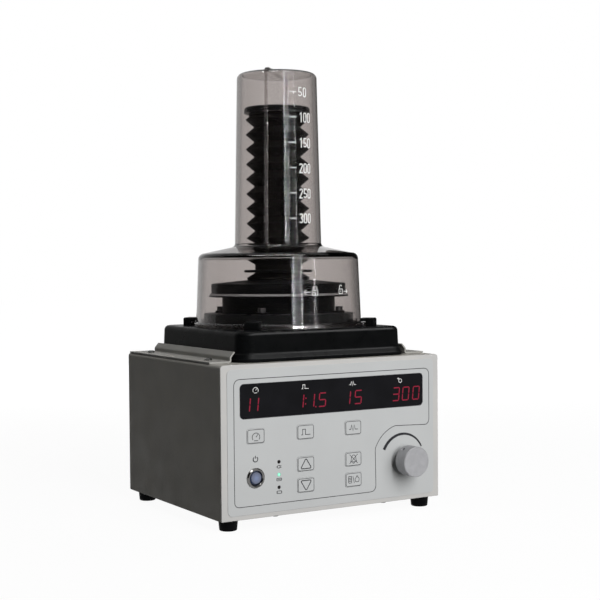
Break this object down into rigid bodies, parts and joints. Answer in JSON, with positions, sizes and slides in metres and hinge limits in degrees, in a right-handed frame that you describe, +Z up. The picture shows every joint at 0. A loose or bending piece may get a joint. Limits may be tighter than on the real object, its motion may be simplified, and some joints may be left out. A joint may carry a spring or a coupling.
{
  "type": "veterinary anaesthesia ventilator",
  "caption": "Bench-top bellows ventilator for animal anaesthesia: grey control cabinet with display, keys and knob under a black bellows in a smoked clear housing.",
  "frame": {"origin": "on the table, under the middle of the cabinet and of the whole depth", "axes": "+X to the right seen from the front, the control panel faces -Y, +Z up along the bellows"},
  "size_m": [0.232, 0.241, 0.4159],
  "materials": {
    "cabinet_paint": "fine satin powder coat, warm light grey",
    "panel_paint": "fine satin powder coat, warm light grey",
    "overlay_film": "printed polyester film, pale cool grey, fine satin",
    "dark_window": "dark tinted gloss filter",
    "circuit_board": "green solder mask",
    "digit_case": "dark red segment display case",
    "post_brass": "turned",
    "key_film": "embossed printed film",
    "bright_ring": "polished",
    "lit_cap": "translucent, lit pale blue",
    "dark_lamp": "unlit lens",
    "green_lamp": "lit lens",
    "knob_aluminium": "turned, fine lines",
    "screw_steel": "zinc plated",
    "black_steel": "black oxide",
    "valve_brass": "machined",
    "gas_hose": "smooth hose",
    "black_moulding": "black satin moulding",
    "rail_paint": "fine satin powder coat, bare cut edges",
    "smoked_clear": "clear moulding with a smoky brown tint",
    "seal_rubber": "smooth",
    "bellows_rubber": "folded black rubber",
    "pale_moulding": "natural white",
    "inlet_moulding": "fine textured black",
    "foot_rubber": "moulded",
    "block_aluminium": "milled",
    "battery_film": "heat-shrink film"
  },
  "bodies": {
    "cabinet": {"top_cover": "cabinet_paint", "bottom_tray": "cabinet_paint", "front_panel": "panel_paint", "rear_panel": "cabinet_paint", "cabinet_screws": "screw_steel", "feet": "foot_rubber", "foot_screws": "screw_steel", "front_overlay": "overlay_film", "display_window": "dark_window", "display_board": "circuit_board", "pressure_digits": "digit_case", "ratio_digits": "digit_case", "rate_digits": "digit_case", "volume_digits": "digit_case", "panel_standoffs": "post_brass", "key_board": "circuit_board", "power_bezel": "bright_ring", "power_nut": "screw_steel", "lamp_upper": "dark_lamp", "lamp_middle": "green_lamp", "lamp_lower": "dark_lamp", "flow_valve_body": "valve_brass", "flow_valve_nut": "black_steel", "flow_tube": "gas_hose", "bellows_base": "black_moulding", "clamp_rail_left": "rail_paint", "clamp_rail_right": "rail_paint", "rail_screws": "screw_steel", "housing_seal": "seal_rubber", "bellows": "bellows_rubber", "bellows_ring": "black_moulding", "bellows_plate": "black_moulding", "valve_chamber": "black_moulding", "chamber_screws": "black_steel", "circuit_port": "black_moulding", "scavenge_port": "black_moulding", "drive_tube": "gas_hose", "power_inlet": "inlet_moulding", "gas_inlet": "valve_brass", "valve_manifold": "block_aluminium", "solenoid_valves": "inlet_moulding", "main_board": "circuit_board", "board_posts": "post_brass", "alarm_sounder": "inlet_moulding", "power_unit": "block_aluminium", "battery_pack": "battery_film"},
    "housing": {"housing": "smoked_clear"},
    "bellows_top": {"bellows_top": "black_moulding"},
    "popoff_disc": {"popoff_disc": "pale_moulding"},
    "knob": {"knob": "knob_aluminium", "knob_set_screw": "black_steel", "flow_valve_stem": "screw_steel"},
    "power_cap": {"power_cap": "lit_cap"},
    "key_pressure": {"key_pressure": "key_film"},
    "key_ratio": {"key_ratio": "key_film"},
    "key_rate": {"key_rate": "key_film"},
    "key_up": {"key_up": "key_film"},
    "key_down": {"key_down": "key_film"},
    "key_mute": {"key_mute": "key_film"},
    "key_mode": {"key_mode": "key_film"}
  },
  "joints": [
    {"name": "bellows_stroke", "type": "slide", "parent": "cabinet", "child": "bellows_top", "axis": [0, 0, 1], "range_m": [-0.105, 0.026], "deforming": ["bellows"]},
    {"name": "housing_twist", "type": "hinge", "parent": "cabinet", "child": "housing", "pos_m": [0, 0.002, 0.1724], "axis": [0, 0, 1], "range_deg": [0, 22]},
    {"name": "popoff_lift", "type": "slide", "parent": "cabinet", "child": "popoff_disc", "axis": [0, 0, 1], "range_m": [0, 0.003]},
    {"name": "knob_turn", "type": "hinge", "parent": "cabinet", "child": "knob", "pos_m": [0.0745, -0.0985, 0.0485], "axis": [0, -1, 0], "range_deg": [-140, 140]},
    {"name": "power_press", "type": "slide", "parent": "cabinet", "child": "power_cap", "axis": [0, 1, 0], "range_m": [0, 0.002], "stiffness_N_per_m": 900},
    {"name": "key_pressure_press", "type": "slide", "parent": "cabinet", "child": "key_pressure", "axis": [0, 1, 0], "range_m": [0, 0.0005], "stiffness_N_per_m": 3000},
    {"name": "key_ratio_press", "type": "slide", "parent": "cabinet", "child": "key_ratio", "axis": [0, 1, 0], "range_m": [0, 0.0005], "stiffness_N_per_m": 3000},
    {"name": "key_rate_press", "type": "slide", "parent": "cabinet", "child": "key_rate", "axis": [0, 1, 0], "range_m": [0, 0.0005], "stiffness_N_per_m": 3000},
    {"name": "key_up_press", "type": "slide", "parent": "cabinet", "child": "key_up", "axis": [0, 1, 0], "range_m": [0, 0.0005], "stiffness_N_per_m": 3000},
    {"name": "key_down_press", "type": "slide", "parent": "cabinet", "child": "key_down", "axis": [0, 1, 0], "range_m": [0, 0.0005], "stiffness_N_per_m": 3000},
    {"name": "key_mute_press", "type": "slide", "parent": "cabinet", "child": "key_mute", "axis": [0, 1, 0], "range_m": [0, 0.0005], "stiffness_N_per_m": 3000},
    {"name": "key_mode_press", "type": "slide", "parent": "cabinet", "child": "key_mode", "axis": [0, 1, 0], "range_m": [0, 0.0005], "stiffness_N_per_m": 3000}
  ]
}
